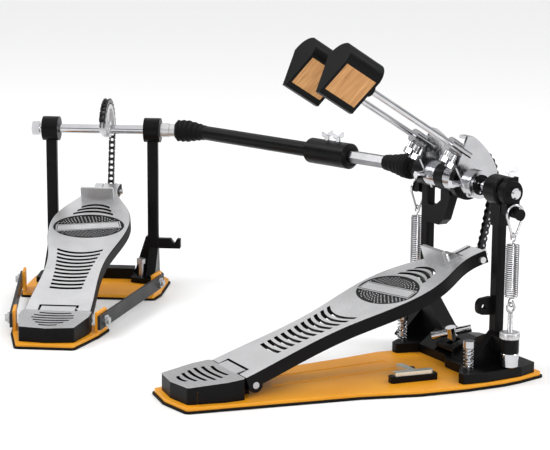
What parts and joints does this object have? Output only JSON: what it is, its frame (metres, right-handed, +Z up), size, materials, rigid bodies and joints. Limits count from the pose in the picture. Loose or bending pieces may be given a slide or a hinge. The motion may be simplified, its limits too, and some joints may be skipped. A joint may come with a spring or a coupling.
{
  "type": "double bass drum pedal",
  "caption": "Double bass drum pedal: two hinged footboards with chains, a driveshaft between them, and two beaters that swing forward on one axle line.",
  "frame": {"origin": "on the floor, on the primary pedal's centre line, straight below its axle", "axes": "+Z up, +Y forward to the drum, +X to the drummer's right along the primary axle"},
  "size_m": [0.6064, 0.3994, 0.305],
  "materials": {
    "black_casting": "satin",
    "orange_enamel": "satin",
    "rubber": "matte",
    "footboard_metal": "satin",
    "chrome": "polished",
    "steel": "brushed",
    "chain_steel": "satin",
    "rail_grey": "satin",
    "beater_plastic": "satin",
    "beater_wood": "satin",
    "beater_felt": "matte",
    "key_nickel": "satin"
  },
  "bodies": {
    "frame": {"base_pad": "rubber", "base_plate": "orange_enamel", "heel_plate": "footboard_metal", "heel_pin": "steel", "post_right": "black_casting", "post_left": "black_casting", "bridge_casting": "black_casting", "axle_bearings": "steel", "tension_adjusters": "chrome", "drum_key_and_clip": "key_nickel", "spur_springs": "chrome", "boot_primary": "rubber"},
    "hoop_screw": {"hoop_screw": "chrome"},
    "hoop_jaw": {"hoop_jaw": "black_casting"},
    "spur_right": {"spur_right": "chrome"},
    "spur_left": {"spur_left": "chrome"},
    "axle_right": {"axle_right": "steel", "beater_hub_right": "chrome", "chain_wheel_right": "footboard_metal", "hub_screws_right": "chrome", "rocker_right": "black_casting", "chain_wrap_right": "chain_steel"},
    "axle_left": {"axle_left": "steel", "beater_hub_left": "chrome", "hub_screws_left": "chrome", "rocker_left": "black_casting", "coupler_primary": "black_casting"},
    "footboard_right": {"footboard_right": "footboard_metal", "toe_hardware_right": "footboard_metal"},
    "chain_run_right": {"chain_run_right": "chain_steel"},
    "spring_right": {"spring_right": "chrome"},
    "spring_link_right": {"spring_link_right": "chrome"},
    "spring_left": {"spring_left": "chrome"},
    "spring_link_left": {"spring_link_left": "chrome"},
    "beater_rod_right": {"beater_rod_right": "chrome"},
    "beater_head_right": {"beater_body_right": "beater_plastic", "beater_wood_right": "beater_wood", "beater_felt_right": "beater_felt"},
    "beater_rod_left": {"beater_rod_left": "chrome"},
    "beater_head_left": {"beater_body_left": "beater_plastic", "beater_wood_left": "beater_wood", "beater_felt_left": "beater_felt"},
    "shaft_inner": {"hex_rod": "steel"},
    "slave_base": {"slave_pads": "rubber", "slave_plates": "orange_enamel", "slave_rails": "rail_grey", "slave_heel_plate": "footboard_metal", "slave_posts": "black_casting", "slave_fasteners": "chrome", "boot_slave": "rubber"},
    "shaft_outer": {"shaft_tube": "black_casting", "lock_sleeve": "black_casting", "shaft_lock_screws": "chrome"},
    "slave_axle": {"slave_axle": "steel", "slave_chain_wheel": "footboard_metal", "slave_chain_wrap": "chain_steel", "slave_coupler": "black_casting"},
    "footboard_slave": {"footboard_slave": "footboard_metal", "toe_hardware_slave": "footboard_metal"},
    "chain_run_slave": {"chain_run_slave": "chain_steel"}
  },
  "joints": [
    {"name": "right_axle_turn", "type": "hinge", "parent": "frame", "child": "axle_right", "pos_m": [0, 0, 0.172], "axis": [-1, 0, 0], "range_deg": [0, 55], "stiffness_Nm_per_rad": 1.2},
    {"name": "right_pedal_hinge", "type": "hinge", "parent": "frame", "child": "footboard_right", "pos_m": [0, -0.234, 0.016], "axis": [-1, 0, 0], "range_deg": [0, 7.5]},
    {"name": "right_chain_hinge", "type": "hinge", "parent": "footboard_right", "child": "chain_run_right", "pos_m": [0.0015, 0.01809, 0.10404], "axis": [1, 0, 0], "range_deg": [0, 16.5]},
    {"name": "right_spring_swing", "type": "hinge", "parent": "frame", "child": "spring_right", "pos_m": [0.077, -0.0005, 0.069], "axis": [1, 0, 0], "range_deg": [0, 10.5]},
    {"name": "right_spring_stretch", "type": "slide", "parent": "spring_right", "child": "spring_link_right", "axis": [0, 0.0176, 0.9998], "range_m": [0, 0.0068], "deforming": ["spring_right"]},
    {"name": "left_axle_turn", "type": "hinge", "parent": "frame", "child": "axle_left", "pos_m": [-0.048, 0, 0.172], "axis": [-1, 0, 0], "range_deg": [0, 55], "stiffness_Nm_per_rad": 1.2},
    {"name": "left_spring_swing", "type": "hinge", "parent": "frame", "child": "spring_left", "pos_m": [-0.079, -0.0005, 0.069], "axis": [1, 0, 0], "range_deg": [0, 10.5]},
    {"name": "left_spring_stretch", "type": "slide", "parent": "spring_left", "child": "spring_link_left", "axis": [0, 0.0176, 0.9998], "range_m": [0, 0.0068], "deforming": ["spring_left"]},
    {"name": "shaft_inner_turn", "type": "hinge", "parent": "frame", "child": "shaft_inner", "pos_m": [-0.102, 0, 0.172], "axis": [-0.9687, -0.2482, 0], "range_deg": [0, 55]},
    {"name": "slave_reach", "type": "slide", "parent": "frame", "child": "slave_base", "axis": [-0.9687, -0.2482, 0], "range_m": [-0.03, 0.06]},
    {"name": "shaft_outer_turn", "type": "hinge", "parent": "slave_base", "child": "shaft_outer", "pos_m": [-0.41435, -0.08005, 0.172], "axis": [-0.9687, -0.2482, 0], "range_deg": [0, 55]},
    {"name": "slave_axle_turn", "type": "hinge", "parent": "slave_base", "child": "slave_axle", "pos_m": [-0.4705, -0.1652, 0.172], "axis": [-0.5505, -0.8348, 0], "range_deg": [0, 55]},
    {"name": "slave_pedal_hinge", "type": "hinge", "parent": "slave_base", "child": "footboard_slave", "pos_m": [-0.27515, -0.29401, 0.016], "axis": [-0.5505, -0.8348, 0], "range_deg": [0, 7.5]},
    {"name": "slave_chain_hinge", "type": "hinge", "parent": "footboard_slave", "child": "chain_run_slave", "pos_m": [-0.4823, -0.15023, 0.10404], "axis": [0.5505, 0.8348, 0], "range_deg": [0, 16.5]},
    {"name": "right_beater_height", "type": "slide", "parent": "axle_right", "child": "beater_rod_right", "axis": [0, -0.8526, 0.5225], "range_m": [-0.02, 0.01]},
    {"name": "right_beater_face", "type": "hinge", "parent": "beater_rod_right", "child": "beater_head_right", "pos_m": [0.012, -0.012, 0.201], "axis": [0, -0.8526, 0.5225], "continuous": true},
    {"name": "left_beater_height", "type": "slide", "parent": "axle_left", "child": "beater_rod_left", "axis": [0, -0.8526, 0.5225], "range_m": [-0.02, 0.01]},
    {"name": "left_beater_face", "type": "hinge", "parent": "beater_rod_left", "child": "beater_head_left", "pos_m": [-0.048, -0.012, 0.201], "axis": [0, -0.8526, 0.5225], "continuous": true},
    {"name": "clamp_screw_turn", "type": "hinge", "parent": "frame", "child": "hoop_screw", "pos_m": [0.008, -0.012, 0.0153], "axis": [0, -0.2588, 0.9659], "range_deg": [0, 1080]},
    {"name": "clamp_jaw_tilt", "type": "hinge", "parent": "frame", "child": "hoop_jaw", "pos_m": [0.008, 0.002, 0.021], "axis": [-1, 0, 0], "range_deg": [0, 9]},
    {"name": "right_spur_travel", "type": "slide", "parent": "frame", "child": "spur_right", "axis": [0, 0, -1], "range_m": [-0.004, 0.0035], "deforming": ["spur_springs"]},
    {"name": "left_spur_travel", "type": "slide", "parent": "frame", "child": "spur_left", "axis": [0, 0, -1], "range_m": [-0.004, 0.0035], "deforming": ["spur_springs"]}
  ],
  "couplings": [
    {"joint": "right_pedal_hinge", "follows": "right_axle_turn", "ratio": 0.1276},
    {"joint": "right_chain_hinge", "follows": "right_axle_turn", "ratio": 0.2896},
    {"joint": "right_spring_swing", "follows": "right_axle_turn", "ratio": 0.178},
    {"joint": "right_spring_stretch", "follows": "right_axle_turn", "m_per_rad": 0.006761},
    {"joint": "left_spring_swing", "follows": "left_axle_turn", "ratio": 0.178},
    {"joint": "left_spring_stretch", "follows": "left_axle_turn", "m_per_rad": 0.006761},
    {"joint": "shaft_inner_turn", "follows": "left_axle_turn", "ratio": 1},
    {"joint": "shaft_outer_turn", "follows": "left_axle_turn", "ratio": 1},
    {"joint": "slave_axle_turn", "follows": "left_axle_turn", "ratio": 1},
    {"joint": "slave_pedal_hinge", "follows": "left_axle_turn", "ratio": 0.1276},
    {"joint": "slave_chain_hinge", "follows": "left_axle_turn", "ratio": 0.2896},
    {"joint": "clamp_jaw_tilt", "follows": "clamp_screw_turn", "ratio": 0.008333}
  ]
}
